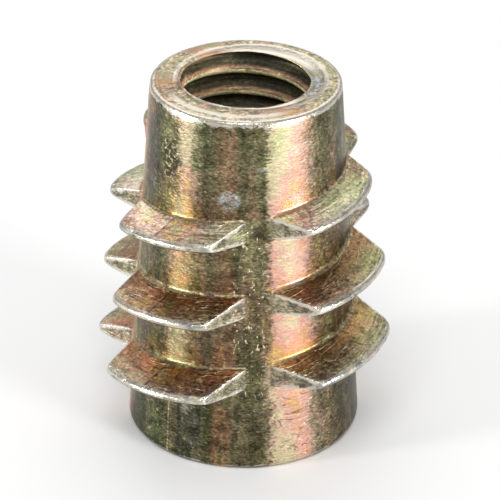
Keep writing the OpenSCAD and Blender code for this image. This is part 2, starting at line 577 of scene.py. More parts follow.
def lead_end(tree, s):
    """The narrow end: rounded edge, flat ring, shallow countersink and the bore's mouth."""
    steps = (EDGE_ROWS, RING_ROWS, SINK_ROWS)
    mesh, column, row = counted_grid(tree, NOTCHES_A_TURN * sum(RING_STEPS), sum(steps))
    _, edge_end, ring_end, sink_end = spaced(steps)
    base = barrel_radius(s, s.insert_length - s.lead_edge)
    angle = ring_angle(s, column, base, 0)
    swing = share(row, 0.0, edge_end) * QUARTER
    rounded = base - s.lead_edge * (1.0 - cosine(swing))
    sink = offset_circle(s, angle, s.sink_radius)
    lip = s.bore_radius + s.mouth_shift * sine(angle)
    radius = along(row, [(edge_end, rounded), (ring_end, sink), (sink_end, lip)])
    across = share(row, ring_end, SINK_ROWS)
    dish = s.dish_depth * (1.0 + cosine(angle - s.sink_direction) * DISH_TILT)
    sunk = across * (1.0 - across * across) * dish * DISH_RISE
    height = s.insert_length - s.lead_edge * (1.0 - sine(swing)) - sunk
    return moved(kept(mesh, "dish_share", across), radius, angle, height)


def bore_strip(tree, s):
    """The bore's wall with its machine thread, as a strip that winds down from the mouth."""
    mesh, column, row = counted_grid(tree, BORE_NOTCHES * sum(RING_STEPS), sum(GROOVE_STEPS))
    crest, groove, groove_end, next_crest, pitch_end = spaced(GROOVE_STEPS)
    base = barrel_radius(s, s.insert_length - s.lead_edge)
    angle = ring_angle(s, column, base, BORE_FIRST_NOTCH)
    flank = s.groove_depth * GROOVE_FLANK
    flat = s.pitch * GROOVE_FLAT
    depth = along(row, [
        (crest, 0.0),
        (groove, s.groove_depth),
        (groove_end, s.groove_depth),
        (next_crest, 0.0),
    ])
    drop = along(row, [
        (crest, 0.0),
        (groove, flank),
        (groove_end, flat + flank),
        (next_crest, flat + flank * 2.0),
        (pitch_end, s.pitch),
    ])
    height = within(s.pitch * angle / TURN + s.crest_place - drop, s.socket_depth, s.insert_length)
    below = s.insert_length - height
    cut = share(least(below, height - s.socket_depth), 0.0, LIP_HEIGHT)
    rolled = (1.0 - share(below, 0.0, LIP_HEIGHT)) * s.mouth_shift * sine(angle)
    low_edge = most(share(row, next_crest, pitch_end - next_crest), 1.0 - share(row, 0.0, 1.0))
    mesh = kept(mesh, "groove_share", depth * cut / s.groove_depth)
    mesh = kept(mesh, "crest_low_edge", low_edge * cut)
    return moved(mesh, depth * cut + s.bore_radius + rolled, angle, height)


def drive_end(tree, s):
    """The wide end: shelf, hexagon socket, its chamfer, the end face and its rounded edge."""
    steps = (SINK_ROWS, WALL_ROWS, EDGE_ROWS, RING_ROWS, EDGE_ROWS)
    mesh, column, row = counted_grid(tree, NOTCHES_A_TURN * sum(RING_STEPS), sum(steps))
    bore_edge, shelf_end, wall_end, chamfer_end, face_end, _ = spaced(steps)
    top_base = barrel_radius(s, s.insert_length - s.lead_edge)
    low_base = barrel_radius(s, s.drive_edge)
    base = between(top_base, low_base, share(row, 0.0, face_end))
    angle = ring_angle(s, column, base, 0)
    from_flat = remainder(angle, HEX_FACE) - HEX_FACE / 2
    hexagon = s.socket_flats / 2 / cosine(from_flat)
    corner = s.socket_flats / math.sqrt(3)
    chamfer = (corner - hexagon) * tangent(s.socket_chamfer)
    swing = share(row, face_end, EDGE_ROWS) * QUARTER
    radius = along(row, [
        (bore_edge, s.bore_radius),
        (shelf_end, hexagon),
        (wall_end, hexagon),
        (chamfer_end, corner),
        (face_end, low_base - s.drive_edge),
    ])
    height = along(row, [(shelf_end, s.socket_depth), (wall_end, chamfer), (chamfer_end, 0.0)])
    height = height + s.drive_edge * (1.0 - cosine(swing))
    return moved(mesh, radius + s.drive_edge * sine(swing), angle, height)


def sized_group(name, sizes, build):
    """A node group with the sizes as named inputs, which puts out what build makes of them as fields."""
    tree = bpy.data.node_groups.new(name, "GeometryNodeTree")
    tree.interface.new_socket("Geometry", in_out="OUTPUT", socket_type="NodeSocketGeometry")
    group_in = tree.nodes.new("NodeGroupInput")
    s = SimpleNamespace()
    for setting in InsertSizes.__annotations__:
        label = sizes.bl_rna.properties[setting].name
        socket = tree.interface.new_socket(label, in_out="INPUT", socket_type="NodeSocketFloat")
        socket.default_value = getattr(sizes, setting)
        setattr(s, setting, Field(tree, group_in.outputs[label]))
    new_node(tree, "NodeGroupOutput", {0: build(tree, s)})
    return tree


def edge_distance(mesh, convex):
    """Distance of each point from the nearest sharp edge that stands out, or that lies in a corner."""
    tree = mesh.tree
    angle = new_node(tree, "GeometryNodeInputMeshEdgeAngle")
    signed = Field(tree, angle.outputs["Signed Angle"])
    sharp = exceeds(signed if convex else -signed, SHARP_ANGLE)
    picked = {"Geometry": mesh, "Selection": sharp}
    edges = first_output(tree, "GeometryNodeSeparateGeometry", picked, domain="EDGE")
    near = new_node(tree, "GeometryNodeProximity", {0: edges}, target_element="EDGES")
    return Field(tree, near.outputs["Distance"])


def seeded_noise(tree, scale, detail, seed):
    """A soft noise from -1 to 1 over the mesh, with its features about 1/scale metres wide."""
    inputs = {"W": seed, "Scale": scale, "Detail": detail}
    return first_output(tree, "ShaderNodeTexNoise", inputs, noise_dimensions="4D") * 2.0 - 1.0


def softened(mesh, near):
    """The mesh with the points where near is 1 drawn most of the way to the mean of their neighbours."""
    tree = mesh.tree
    place = first_output(tree, "GeometryNodeInputPosition")
    blurring = {"Value": place, "Iterations": BLUR_STEPS}
    blurred = first_output(tree, "GeometryNodeBlurAttribute", blurring, data_type="FLOAT_VECTOR")
    drawn = mixed("VECTOR", near * SOFT_SHARE, place, blurred)
    return first_output(tree, "GeometryNodeSetPosition", {"Geometry": mesh, "Position": drawn})


def cast_surface(mesh):
    """The sharp mesh with softened corners and the slight waves of a casting."""
    tree = mesh.tree
    proud = edge_distance(mesh, True)
    creased = edge_distance(mesh, False)
    mesh = kept(mesh, "edge_distance", proud)
    mesh = kept(mesh, "crease_distance", creased)
    for _ in range(SOFT_ROUNDS):
        mesh = softened(mesh, 1.0 - share(least(proud, creased), SOFT_WIDTH, SOFT_WIDTH))
    wave = seeded_noise(tree, *WAVE_NOISE) * WAVE_HEIGHT
    ripple = seeded_noise(tree, *RIPPLE_NOISE) * RIPPLE_HEIGHT
    beside_edge = 1.0 - share(proud, 0.0, NICK_REACH)
    nick = least(seeded_noise(tree, *NICK_NOISE) + NICK_BIAS, 0.0) * beside_edge * NICK_DEPTH
    outward = wave + ripple + nick - WAVE_HEIGHT - RIPPLE_HEIGHT
    offset = scaled(first_output(tree, "GeometryNodeInputNormal"), outward)
    return first_output(tree, "GeometryNodeSetPosition", {"Geometry": mesh, "Offset": offset})


def insert_tree(sizes, material):
    """The geometry nodes that make the insert, with its sizes as named inputs."""
    surfaces = (outer_strip, lead_end, bore_strip, drive_end)
    patches = [sized_group(build.__name__, sizes, build) for build in surfaces]

    def whole_insert(tree, s):
        """The patches, merged, softened and given their material."""
        join = tree.nodes.new("GeometryNodeJoinGeometry")
        for patch in patches:
            placed_patch = new_node(tree, "GeometryNodeGroup", node_tree=patch)
            for setting, socket in zip(InsertSizes.__annotations__, placed_patch.inputs):
                put(getattr(s, setting), socket)
            tree.links.new(placed_patch.outputs[0], join.inputs[0])
        mesh = Field(tree, join.outputs[0])
        merging = {"Geometry": mesh, "Distance": MERGE}
        mesh = cast_surface(first_output(tree, "GeometryNodeMergeByDistance", merging))
        mesh = first_output(tree, "GeometryNodeRealizeInstances", {0: mesh})
        mesh = first_output(tree, "GeometryNodeSetShadeSmooth", {"Geometry": mesh})
        return first_output(tree, "GeometryNodeSetMaterial", {"Geometry": mesh, "Material": material})

    return sized_group("insert_shape", sizes, whole_insert)


# ---------------------------------------------------------------------------
# Finish
# ---------------------------------------------------------------------------


def shader_group(name, inputs, outputs):
    """An empty shader group with named inputs and outputs: (tree, inputs as fields, output node)."""
    tree = bpy.data.node_groups.new(name, "ShaderNodeTree")
    for label, kind, default in inputs:
        socket = tree.interface.new_socket(label, in_out="INPUT", socket_type=kind)
        socket.default_value = default
    for label, kind in outputs:
        tree.interface.new_socket(label, in_out="OUTPUT", socket_type=kind)
    group_in = tree.nodes.new("NodeGroupInput")
    fields = {label: Field(tree, group_in.outputs[label]) for label, _, _ in inputs}
    return tree, fields, tree.nodes.new("NodeGroupOutput")


def placed(group, **inputs):
    """A shader group placed in the tree of its first input: its outputs by name."""
    tree = tree_of(*inputs.values())
    node = new_node(tree, "ShaderNodeGroup", node_tree=group)
    for label, value in inputs.items():
        put(value, node.inputs[label])
    return {socket.name: Field(tree, socket) for socket in node.outputs}


def noise(vector, scale, detail=2.0, roughness=0.5):
    """A soft noise around 0.5."""
    inputs = {"Vector": vector, "Scale": scale, "Detail": detail, "Roughness": roughness}
    return first_output(vector.tree, "ShaderNodeTexNoise", inputs)


def smooth(value, low, high):
    """0 below low, 1 above high and a smooth step between; low may lie above high."""
    inputs = {"Value": value, "From Min": low, "From Max": high}
    return first_output(value.tree, "ShaderNodeMapRange", inputs, interpolation_type="SMOOTHSTEP")


def blended(part, a, b, how="MIX"):
    """Colour a with part of colour b laid over it."""
    return mixed("RGBA", part, a, b, blend_type=how)


def ramp(value, stops):
    """A colour that runs through stops of (place, colour)."""
    node = new_node(value.tree, "ShaderNodeValToRGB", {0: value})
    elements = node.color_ramp.elements
    elements[0].position, elements[0].color = stops[0][0], (*stops[0][1], 1)
    elements[1].position, elements[1].color = stops[-1][0], (*stops[-1][1], 1)
    for place, colour in stops[1:-1]:
        elements.new(place).color = (*colour, 1)
    return Field(value.tree, node.outputs[0])


def surface_value(tree, name):
    """A value that the shape's tree stored on the mesh."""
    return Field(tree, new_node(tree, "ShaderNodeAttribute", attribute_name=name).outputs["Fac"])


# Colours of small marks, of painted highlights and of painted shade
BORE_EDGE_HIGHLIGHT = (0.95, 0.92, 0.50, 1)
BLUE_GREY = (0.30, 0.33, 0.35, 1)
GOLD_SPECK = (0.80, 0.72, 0.48, 1)
PIT_DARK = (0.05, 0.05, 0.025, 1)
RED_BROWN = (0.24, 0.13, 0.075, 1)
BLUE_BLACK = (0.055, 0.06, 0.05, 1)
LEAF_GREEN = (0.12, 0.15, 0.06, 1)
RUB_SILVER = (0.50, 0.52, 0.53, 1)
SPARK = (0.50, 0.46, 0.35, 1)
RUBBED = (0.36, 0.35, 0.33, 1)
ROOT_HIGHLIGHT = (0.36, 0.36, 0.26, 1)

# Heights in millimetres below the one end and above the other, for marks that run the whole length
FOOT = -1.0
TOP = LENGTH + 1.0
MARK_FADE = 1.0  # height over which a streak comes and goes, to each side of its end
STAIN_FADE = 0.5

# Upward parts of the surface's normal, and share of the flight's height, over which masks come in
UP_TILT = (0.5, 0.8)
OVERHANG_TILT = (-0.05, -0.5)
FLIGHT_RISE = (0.02, 0.1)

# Heights in millimetres over which a mask comes in, or goes out where the first one is the higher
MOUTH_BAND = (18.0, 19.0)
SHELF_BAND = (SOCKET_DEPTH, SOCKET_DEPTH + 0.2)
FOOT_BAND = (4.6, 3.6)
NOTCH_LOW_BAND = (3.8, 5.0)
NOTCH_HIGH_BAND = (15.0, 13.5)
FIRST_FLIGHT_BAND = (11.5, 13.2)
FIRST_FLIGHT_TIP_BAND = (15.5, 14.7)
TOP_FLIGHT_BAND = (13.5, 15.0)
LOW_FLIGHT_BAND = (8.0, 6.8)
RIM_EDGE_BAND = (19.2, 19.6)

# The passivation film's tints as it grows thicker, laid over the colours below it
FILM_STOPS = (
    (0.0, (0.84, 1.08, 0.70)),
    (0.2, (1.00, 1.03, 0.88)),
    (0.4, (1.05, 1.02, 0.88)),
    (0.6, (1.15, 0.77, 0.86)),
    (0.74, (1.16, 0.76, 0.62)),
    (0.84, (1.10, 0.78, 0.44)),
    (0.94, (1.10, 0.88, 0.46)),
    (1.0, (0.98, 0.98, 0.74)),
)

# Pale upright streaks on the barrel, partly streaky film and partly painted highlights: the directions where
# each starts and ends and how soft its two sides are, all in degrees, its strength, the heights where it
# starts and ends, and its thicker film
STREAKS_AND_HIGHLIGHTS = (
    (-77.0, -52.0, 3.0, 8.0, 1.0, FOOT, TOP, 0.0),
    (-133.0, -121.0, 9.0, 5.0, 0.6, 3.5, 15.0, 0.16),
    (-130.0, -120.0, 5.0, 5.0, 0.65, 15.0, TOP, 0.2),
    (168.0, 192.0, 5.0, 9.0, 0.75, FOOT, TOP, 0.1),
    (108.0, 132.0, 8.0, 4.0, 0.9, FOOT, TOP, 0.0),
    (62.0, 80.0, 4.0, 6.0, 0.5, 3.5, TOP, 0.1),
    (8.0, 30.0, 7.0, 4.0, 0.8, FOOT, TOP, 0.0),
)

# Stains that run up the barrel between the streaks: direction, reach and fade in degrees, the height
# where each ends, colour and strength
STAINS = (
    (-101.0, 2.0, 5.0, TOP, RED_BROWN, 0.42),
    (-114.0, 3.0, 4.0, TOP, BLUE_BLACK, 0.2),
    (-143.0, 3.0, 5.0, TOP, LEAF_GREEN, 0.6),
    (-158.0, 7.0, 6.0, TOP, BLUE_BLACK, 0.66),
    (-30.0, 3.0, 6.0, TOP, RED_BROWN, 0.3),
    (-17.0, 6.0, 8.0, TOP, BLUE_BLACK, 0.6),
    (45.0, 3.0, 5.0, TOP, LEAF_GREEN, 0.6),
    (92.0, 2.0, 4.0, TOP, RED_BROWN, 0.54),
    (150.0, 3.0, 5.0, TOP, BLUE_BLACK, 0.6),
    (-120.0, 6.0, 4.0, 4.5, BLUE_BLACK, 0.7),
    (-103.0, 2.0, 4.0, 4.5, RED_BROWN, 0.7),
    (-148.0, 7.0, 5.0, 4.5, LEAF_GREEN, 0.6),
)

# Spots on the barrel: direction in degrees, then height, half width and half height in millimetres
BLEMISH = (-139.0, 17.1, 0.62, 1.2)
RUBS = (
    (-99.0, 15.6, 0.62, 0.55),
    (60.0, 8.6, 0.9, 0.6),
    (165.0, 16.6, 0.7, 1.0),
)

# Sectors where the finish differs, and sectors of painted light and painted highlights: direction, reach and
# fade in degrees
PALE_FLANK_SECTOR = (-160, 15, 25)
ORANGE_FLANK_SECTOR = (-140, 35, 35)
# painted light on one side of the bore's wall
BORE_PAINTED_LIGHT_SECTOR = (165, 20, 60)
# painted highlights around the mouth: the back of the dish here, the front band and the lip below
BACK_SHINE_SECTOR = (66, 27, 22)
RIGHT_GREY_SECTOR = (2, 18, 22)
LEFT_GREY_SECTOR = (190, 40, 30)
# painted highlights: the rim's front band and lip, and the wider bright edge at the front
FRONT_BAND_SECTOR = (-108, 30, 26)
FRONT_LIP_SECTOR = (-95, 45, 25)
FRONT_HIGHLIGHT_SECTOR = (-100, 30, 25)

# Directions with their reach and fade in degrees, lengths in millimetres
PARTING_DIRECTION = -131.0  # the mould's parting line also runs up the opposite side
PARTING_EDGE = (0.09, 0.03)  # distances over which the line goes out and comes in
BARREL_REACH = (4.9, 5.1)  # between the bore and the barrel's outside
NOTCH_DIRECTIONS = (-88.0, 2.0, 92.0, 182.0)
NOTCH_REACH = 5
NOTCH_FADE = 6
BORE_REACH = (4.05, 3.85)
SQUIGGLE_CIRCLE = 2.4  # radius of the circle on which the flow lines' pattern is laid
RIPPLE_CIRCLE = 2.2  # radius of the circle on which the flanks' ripples are laid
RIM_WIDTH = 1.7
RIM_HIGHLIGHT_BAND = 0.54  # place of the painted highlight band across the rim, from the bore to the edge

# Patches in which a mark shows: scale, detail, roughness, shift and stretch of a noise, and the two values
# between which the mark comes in
STAIN_PATCHES = (1.1, 3.0, 0.65, None, (1.0, 1.0, 0.25), 0.38, 0.56)
ROOT_HIGHLIGHT_PATCHES = (1.4, 3.0, 0.5, None, None, 0.35, 0.5)
BLOTCH_PATCHES = (1.9, 3.0, 0.65, (7.0, 3.0, 11.0), None, 0.5, 0.62)
RUBBED_PATCHES = (0.55, 5.0, 0.7, (2.0, 13.0, 4.0), None, 0.62, 0.7)
RUB_PATCHES = (1.8, 4.0, 0.7, (1.0, 6.0, 2.0), None, 0.36, 0.6)
LINE_PATCHES = (0.45, 1.0, 0.5, (17.0, 3.0, 8.0), None, 0.48, 0.60)
CREASE_PATCHES = (1.1, 1.0, 0.5, (9.0, 1.0, 2.0), None, 0.44, 0.56)
GOLD_PATCHES = (6.0, 2.0, 0.5, (3.0, 41.0, 9.0), (1.0, 1.0, 0.6), 0.63, 0.7)
BRUISE_PATCHES = (1.0, 3.0, 0.6, (9.0, 2.0, 31.0), None, 0.5, 0.62)
DULL_PATCHES = (0.6, 2.0, 0.6, (6.0, 2.0, 19.0), None, 0.5, 0.62)

# How much thicker the film is
FILM_START = -0.14
FILM_ABOVE_FLIGHT = 0.52
FILM_UPRIGHT = 1.8
FILM_ORANGE_FLANK = 0.34
FILM_TOP_FLIGHT = 0.08
FILM_FLANK = 0.12
FILM_FOOT = 0.04
FILM_BLUSH = 0.3

# How strongly the film shows
FILM_COVER = 0.45
FILM_STREAK_AND_HIGHLIGHT_COVER = 0.5
FILM_ABOVE_COVER = 0.3
FILM_FLANK_COVER = 0.3

# Contrast of a noise, in doublings of brightness from its darkest to its brightest
UPRIGHT_CONTRAST = 4.5
BORE_CONTRAST = 6.0

# Widths in millimetres of the bright edges, which are partly rubbed and partly painted highlights; the extra
# width at the rim's front is painted highlight
WEAR_AND_HIGHLIGHT_WIDTH = 0.13
FACE_WEAR_AND_HIGHLIGHT_WIDTH = 0.1
RIM_WEAR_AND_HIGHLIGHT_WIDTH = 0.1
FRONT_HIGHLIGHT_WIDTH = 0.14

# How strongly each mark, painted highlight and painted shade covers the colour below it
RUBBED_COVER = 0.55
RUB_COVER = 0.65
ROOT_HIGHLIGHT_COVER = 0.5
PIT_COVER = 0.8
GOLD_COVER = 0.8
LINE_COVER = 0.7
BRUISE_COVER = 0.6
# painted shade on faces that look down
OVERHANG_SHADE_COVER = 0.7
MOUTH_HIGHLIGHT_COVER = 0.85
LIP_STRENGTH = 1.1
GREY_SIDE_COVER = 0.8
GREY_LEFT_COVER = 0.7
SPARK_COVER = 0.6
WEAR_AND_HIGHLIGHT_COVER = 0.75
DULL_COVER = 0.75

# How much some marks lighten or darken the colour
LOW_ROOT_GAIN = 0.45
PALE_FLANK_GAIN = 0.25
BLOTCH_SHADE = 0.4
FOOT_SHADE = 0.2
NOTCH_SHADE = 0.12
CREASE_SHADE = 0.35
PARTING_GAIN = 1.7  # on the foot
PARTING_SHADE = 0.45  # on the flanks
RIPPLE_GAIN = 1.1
RING_GAIN = 1.6

# How much quieter the grain is on the streaks, which are partly painted highlights, and on the flanks
STREAK_AND_HIGHLIGHT_CALM = 0.75
STREAK_AND_HIGHLIGHT_SMOOTHNESS = 0.6
FLANK_CALM = 0.25

# The surface away from its marks, and how they change it
ROUGHNESS = 0.40
WORN_GLOSS = 0.1
GRAIN_ROUGHNESS = 0.08
BORE_ROUGHNESS = 0.1
BORE_DULLNESS = 0.6  # of the metal in the bore

# Heights of the relief that is too fine for the mesh, in millimetres
GRAIN_RELIEF = 0.02
LINE_RELIEF = 0.04
PARTING_RELIEF = 0.03
RIPPLE_RELIEF = 0.12
SPECK_RELIEF = 0.03
CREASE_RELIEF = 0.05
PIT_RELIEF = 0.4


class Place:
    """Where a point lies on the insert: its place in millimetres, and a mask for each kind of surface."""

    def __init__(self, tree):
        coordinates = new_node(tree, "ShaderNodeTexCoord")
        self.vector = scaled(Field(tree, coordinates.outputs["Object"]), PER_MM)
        self.x, self.y, self.z = parts(self.vector)
        self.radius = root(self.x * self.x + self.y * self.y)
        tilt = parts(Field(tree, coordinates.outputs["Normal"]))[2]
        self.up = smooth(tilt, *UP_TILT)
        self.overhang = smooth(tilt, *OVERHANG_TILT)
        self.rise = surface_value(tree, "flight_rise")
        self.edge = surface_value(tree, "edge_distance") * PER_MM
        self.crease = surface_value(tree, "crease_distance") * PER_MM
        self.dish = surface_value(tree, "dish_share")
        self.groove = surface_value(tree, "groove_share")
        self.low_edge = surface_value(tree, "crest_low_edge")
        on_flight = smooth(self.rise, *FLIGHT_RISE)
        self.off_flight = 1.0 - on_flight
        self.above = surface_value(tree, "above_flight") * self.off_flight
        self.flank = on_flight * self.up
        self.face = on_flight * (1.0 - self.up)
        self.rim = self.off_flight * self.up
        hollow = smooth(self.radius, *BORE_REACH) * (1.0 - self.up * smooth(self.z, *MOUTH_BAND))
        self.bore = most(hollow, smooth(self.groove, 0.0, 0.1) * smooth(self.z, *SHELF_BAND))
        self.barrel = self.off_flight * (1.0 - self.up) * (1.0 - self.bore)
        self.foot = self.barrel * smooth(self.z, *FOOT_BAND)
        toward_notch = 0.0
        for direction in NOTCH_DIRECTIONS:
            toward_notch = self.facing(direction, NOTCH_REACH, NOTCH_FADE) + toward_notch
        threaded = smooth(self.z, *NOTCH_LOW_BAND) * smooth(self.z, *NOTCH_HIGH_BAND)
        self.notch_floor = toward_notch * self.barrel * threaded

    def noise(self, scale, detail=2.0, roughness=0.5, shift=None, stretch=None):
        """A soft noise around 0.5, with its features about 1/scale millimetres wide."""
        vector = self.vector
        if shift:
            vector = joined("ADD", vector, shift)
        if stretch:
            vector = joined("MULTIPLY", vector, stretch)
        return noise(vector, scale, detail, roughness)

    def wound(self, reach, height):
        """A place for patterns that run round the axis: on a circle of radius reach, at a height."""
        return point(self.x / self.radius * reach, self.y / self.radius * reach, height)

    def patches(self, scale, detail, roughness, shift, stretch, low, high):
        """1 in scattered patches and 0 between them, over which a noise runs from low to high."""
        return smooth(self.noise(scale, detail, roughness, shift, stretch), low, high)

    def toward(self, degrees):
        """Cosine of the angle between the place and a direction round the axis."""
        turn = math.radians(degrees)
        return (self.x * math.cos(turn) + self.y * math.sin(turn)) / self.radius

    def aside(self, degrees):
        """Distance to the left of a direction round the axis."""
        turn = math.radians(degrees)
        return self.y * math.cos(turn) - self.x * math.sin(turn)

    def facing(self, degrees, reach, fade):
        """1 within reach of a direction round the axis, and 0 past the fade beyond it, all in degrees."""
        outer = math.cos(math.radians(reach + fade))
        inner = math.cos(math.radians(reach))
        return smooth(self.toward(degrees), outer, inner)


def grain_group():
    """Sugary grain of a cast and plated face: a height, a tone around 1 and sparse bright specks."""
    tree, given, out = shader_group(
        "cast_grain",
        [("Place", "NodeSocketVector", (0, 0, 0))],
        [("Height", "NodeSocketFloat"), ("Tone", "NodeSocketFloat"), ("Specks", "NodeSocketFloat")],
    )
    place = joined("MULTIPLY", given["Place"], (1.0, 1.0, 2.0))
    fine = noise(place, 5.5, detail=2.0, roughness=0.55)
    other = noise(joined("ADD", place, (31.0, 17.0, 5.0)), 4.0, detail=2.0, roughness=0.6)
    medium = noise(place, 0.9, detail=3.0, roughness=0.6)
    height = (fine - 0.5) * 1.2 + (other - 0.5) * 1.0 + (medium - 0.5) * 1.2
    tone = power(2.0, (fine - 0.5) * 4.5 + (medium - 0.5) * 2.4 + (other - 0.5) * 1.4)
    specks = smooth(fine * 0.5 + other * 0.5, 0.60, 0.70)
    put(height, out.inputs["Height"])
    put(most(tone, 0.12), out.inputs["Tone"])
    put(specks, out.inputs["Specks"])
    return tree


def film_group():
    """Colours of the thin yellow passivation film: they run through straw, pink, orange and gold."""
    tree, given, out = shader_group(
        "passivation_film",
        [("Place", "NodeSocketVector", (0, 0, 0)), ("Shift", "NodeSocketFloat", 0.0)],
        [("Colour", "NodeSocketColor")],
    )
    broad = noise(joined("MULTIPLY", given["Place"], (1.0, 1.0, 0.5)), 0.35, detail=2.0, roughness=0.5)
    close = noise(given["Place"], 1.7, detail=3.0, roughness=0.6)
    thickness = broad * 1.6 + close * 0.8 - 0.75 + given["Shift"]
    put(ramp(thickness, FILM_STOPS), out.inputs["Colour"])
    return tree


def wear_and_highlight_group():
    """Where an edge is bright, partly rubbed and partly a painted highlight, from the distance to it."""
    tree, given, out = shader_group(
        "edge_wear_and_highlight",
        [("Place", "NodeSocketVector", (0, 0, 0)), ("Distance", "NodeSocketFloat", 1.0),
         ("Width", "NodeSocketFloat", 0.15)],
        [("Mask", "NodeSocketFloat")],
    )
    broken = noise(given["Place"], 1.5, detail=4.0, roughness=0.7)
    reach = given["Width"] * (broken * 3.4 - 0.9)
    put(1.0 - smooth(given["Distance"] / most(reach, 0.01), 0.4, 1.2), out.inputs["Mask"])
    return tree


def streak_and_highlight_masks(at):
    """Strength of the barrel's pale upright streaks, which are partly streaky film and partly painted
    highlights, and how much thicker the film is over them.
    """
    wander = (at.noise(1.3, 2.0, 0.6, stretch=(1.0, 1.0, 0.3)) - 0.5) * 0.2
    wander = wander + (at.noise(3.5, 2.0, 0.6, stretch=(1.0, 1.0, 1.8)) - 0.5) * 0.22
    total, thicker = 0.0, 0.0
    for start, end, start_soft, end_soft, strength, low, high, film in STREAKS_AND_HIGHLIGHTS:
        middle = (start + end) / 2
        half = math.sin(math.radians((end - start) / 2))
        aside = at.aside(middle) / at.radius + wander
        first = math.sin(math.radians(start_soft))
        last = math.sin(math.radians(end_soft))
        mask = smooth(aside, -half - first, -half + first) * smooth(aside, half + last, half - last)
        mask = mask * smooth(at.toward(middle), 0.0, 0.1) * strength
        mask = mask * smooth(at.z, low - MARK_FADE, low + MARK_FADE)
        mask = mask * smooth(at.z, high + MARK_FADE, high - MARK_FADE)
        total = mask + total
        blush = smooth(aside, -half * 0.4, half * 0.5) * (1.0 - at.above) * FILM_BLUSH
        thicker = mask * (blush + at.foot * FILM_FOOT + film) + thicker
    return total * at.off_flight, thicker


def ground_colour(at, colours, streak_and_highlight):
    """The colours of the barrel, the flights and the end faces, with the pale streaks that are partly
    painted highlights and a painted highlight along the flights' roots.
    """
    # the pale streaks: partly streaky film and partly painted highlights on the barrel
    colour = blended(streak_and_highlight, colours.barrel, colours.streak_and_highlight)
    broken = at.patches(*STAIN_PATCHES)
    for direction, reach, fade, top, stain, strength in STAINS:
        stained = at.facing(direction, reach, fade) * smooth(at.z, top + STAIN_FADE, top - STAIN_FADE)
        colour = blended(stained * broken * strength, colour, stain)
    flank = blended(smooth(at.rise, 0.2, 1.05), colours.flank_root, colours.flank_crest)
    lead = blended(smooth(at.rise, 0.2, 1.0), colours.lead_root, colours.lead_crest)
    leading = smooth(at.z, *FIRST_FLIGHT_BAND) * (smooth(at.z, *FIRST_FLIGHT_TIP_BAND) * 0.7 + 0.15)
    flank = blended(leading, flank, lead)
    low_root = smooth(at.z, *LOW_FLIGHT_BAND) * smooth(at.rise, 0.8, 0.3)
    gain = low_root * LOW_ROOT_GAIN + at.facing(*PALE_FLANK_SECTOR) * PALE_FLANK_GAIN
    flank = scaled(flank, 1.0 + gain)
    colour = blended(at.flank, colour, flank)
    colour = blended(at.face, colour, colours.notch_face)
    colour = blended(at.rim, colour, colours.flank_crest)
    # painted highlight: a thin pale line along the fillet where a flight meets the barrel
    root_highlight = smooth(at.above, 0.96, 0.985) * at.patches(*ROOT_HIGHLIGHT_PATCHES)
    return blended(root_highlight * (1.0 - at.notch_floor) * ROOT_HIGHLIGHT_COVER, colour, ROOT_HIGHLIGHT)


def filmed(at, colour, streak_and_highlight, thicker):
    """The colour under the iridescent film, with upright shades, dark blotches and dull rubbed patches."""
    dark = (1.0 - streak_and_highlight) * at.barrel
    upright = (at.noise(0.85, 3.0, 0.6, stretch=(1.0, 1.0, 0.07)) - 0.5) * dark
    shift = at.above * (1.0 - at.notch_floor) * FILM_ABOVE_FLIGHT + FILM_START + upright * FILM_UPRIGHT
    at_top = smooth(at.z, *TOP_FLIGHT_BAND) * FILM_TOP_FLIGHT
    on_flank = at.facing(*ORANGE_FLANK_SECTOR) * FILM_ORANGE_FLANK - at_top - FILM_FLANK
    shift = shift + thicker + at.flank * on_flank
    film = placed(film_group(), Place=at.vector, Shift=shift)["Colour"]
    cover = FILM_COVER + streak_and_highlight * FILM_STREAK_AND_HIGHLIGHT_COVER
    cover = cover + smooth(at.above, 0.6, 1.0) * FILM_ABOVE_COVER + at.flank * FILM_FLANK_COVER
    colour = blended(cover, colour, film, "MULTIPLY")
    colour = scaled(colour, power(2.0, upright * UPRIGHT_CONTRAST))
    blotch = at.patches(*BLOTCH_PATCHES)
    low_shade = (at.foot * FOOT_SHADE + at.notch_floor * NOTCH_SHADE) * dark
    colour = scaled(colour, 1.0 - blotch * (1.0 - streak_and_highlight) * BLOTCH_SHADE - low_shade)
    rubbed = at.patches(*RUBBED_PATCHES)
    colour = blended(rubbed * RUBBED_COVER, colour, RUBBED)
    patchy = at.patches(*RUB_PATCHES)
    for rub in RUBS:
        colour = blended(spot(at, *rub) * at.barrel * patchy * RUB_COVER, colour, RUB_SILVER)
    return colour


def bore_colour(at, colours):
    """The machine thread's dull wall: warm crests, dark grooves, turned lines, painted light toward one side
    and a painted highlight along each crest's lower edge.
    """
    lines = noise(point(at.x * 0.12, at.y * 0.12, at.z), 5.0, detail=3.0, roughness=0.7)
    colour = blended(smooth(at.groove, 0.04, 0.4), colours.bore_crest, colours.bore_groove)
    # painted light: the bore's wall is brighter toward one side
    colour = scaled(colour, 0.75 + at.facing(*BORE_PAINTED_LIGHT_SECTOR) * 1.1)
    colour = scaled(colour, power(2.0, (lines - 0.5) * BORE_CONTRAST))
    # painted highlight along the lower edge of each crest
    bright = smooth(at.low_edge, 0.15, 0.5)
    return blended(bright, colour, BORE_EDGE_HIGHLIGHT), bright


